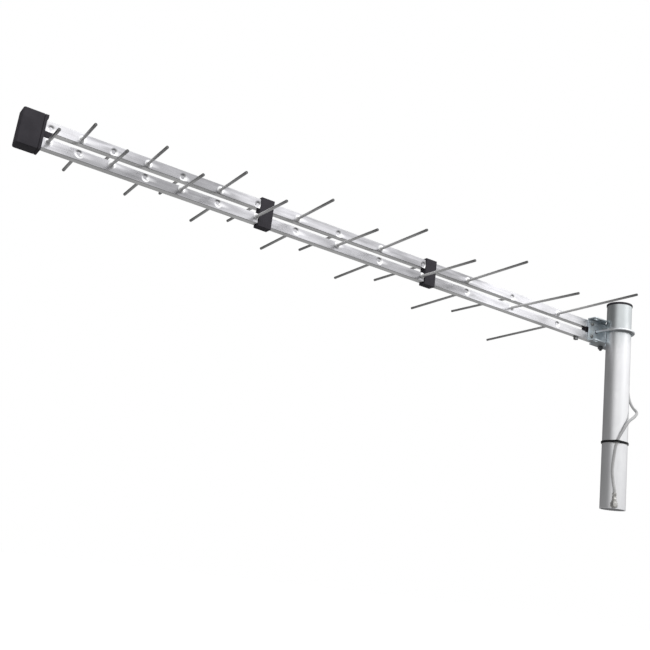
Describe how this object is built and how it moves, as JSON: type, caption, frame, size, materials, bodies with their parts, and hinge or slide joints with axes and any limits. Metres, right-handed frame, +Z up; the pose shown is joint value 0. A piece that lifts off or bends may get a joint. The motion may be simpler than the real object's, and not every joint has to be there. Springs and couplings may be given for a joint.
{
  "type": "log-periodic antenna",
  "caption": "Twin-boom log-periodic dipole aerial for UHF television, clamped by a toothed bracket and U-bolt to the capped top of a mast, with a short coaxial lead and plug.",
  "frame": {"origin": "centre of the mast's cut lower end, where a longer mast or a socket would carry it", "axes": "+Z up along the mast; -X along the booms from the clamp to the feed box at the tip; +Y from the mast to the booms behind it"},
  "size_m": [1.0585, 0.32, 0.3424],
  "materials": {
    "mast_steel": "galvanised, satin",
    "boom_aluminium": "extruded, brushed lengthwise",
    "arm_aluminium": "drawn, satin",
    "black_plastic": "fine moulded grain",
    "zinc_sheet": "bright zinc plate with a bluish cast",
    "zinc_fastener": "zinc plate, duller than the bracket",
    "grey_lead": "smooth flexible jacket",
    "nickel_plug": "nickel plate"
  },
  "bodies": {
    "mast": {"mast_tube": "mast_steel", "mast_cap": "black_plastic"},
    "antenna": {"arm_01_far": "arm_aluminium", "arm_01_near": "arm_aluminium", "arm_02_far": "arm_aluminium", "arm_02_near": "arm_aluminium", "arm_03_far": "arm_aluminium", "arm_03_near": "arm_aluminium", "arm_04_far": "arm_aluminium", "arm_04_near": "arm_aluminium", "arm_05_far": "arm_aluminium", "arm_05_near": "arm_aluminium", "arm_06_far": "arm_aluminium", "arm_06_near": "arm_aluminium", "arm_07_far": "arm_aluminium", "arm_07_near": "arm_aluminium", "arm_08_far": "arm_aluminium", "arm_08_near": "arm_aluminium", "arm_09_far": "arm_aluminium", "arm_09_near": "arm_aluminium", "arm_10_far": "arm_aluminium", "arm_10_near": "arm_aluminium", "arm_11_far": "arm_aluminium", "arm_11_near": "arm_aluminium", "arm_12_far": "arm_aluminium", "arm_12_near": "arm_aluminium", "arm_13_far": "arm_aluminium", "arm_13_near": "arm_aluminium", "arm_14_far": "arm_aluminium", "arm_14_near": "arm_aluminium", "boom_bolt": "zinc_fastener", "boom_bolt_nut": "zinc_fastener", "boom_screw": "zinc_fastener", "cable_tie": "black_plastic", "clamp_back_plate": "zinc_sheet", "clamp_bracket": "zinc_sheet", "coax_lead": "grey_lead", "f_plug_body": "nickel_plug", "feed_box_base": "black_plastic", "feed_screw_lower": "zinc_fastener", "feed_screw_upper": "zinc_fastener", "gap_block_front": "black_plastic", "gap_block_middle": "black_plastic", "lower_boom": "boom_aluminium", "lower_boom_plug": "black_plastic", "spacer_front_far": "black_plastic", "spacer_front_near": "black_plastic", "spacer_rear_far": "black_plastic", "spacer_rear_near": "black_plastic", "u_bolt": "zinc_fastener", "u_bolt_nut_left": "zinc_fastener", "u_bolt_nut_right": "zinc_fastener", "upper_boom": "boom_aluminium", "upper_boom_plug": "black_plastic", "web_screw_lower": "zinc_fastener", "web_screw_upper": "zinc_fastener"},
    "feed_cover": {"feed_box_cover": "black_plastic"},
    "plug_nut": {"f_plug_nut": "nickel_plug"}
  },
  "joints": [
    {"name": "mast_swivel", "type": "hinge", "parent": "mast", "child": "antenna", "pos_m": [0, 0, 0.2935], "axis": [0, 0, 1], "range_deg": [-180, 180]},
    {"name": "feed_cover_slide", "type": "slide", "parent": "antenna", "child": "feed_cover", "axis": [-1, 0, 0], "range_m": [0, 0.04]},
    {"name": "plug_nut_spin", "type": "hinge", "parent": "antenna", "child": "plug_nut", "pos_m": [-0.0194, -0.0186, 0.0066], "axis": [0, 0, 1], "continuous": true}
  ]
}
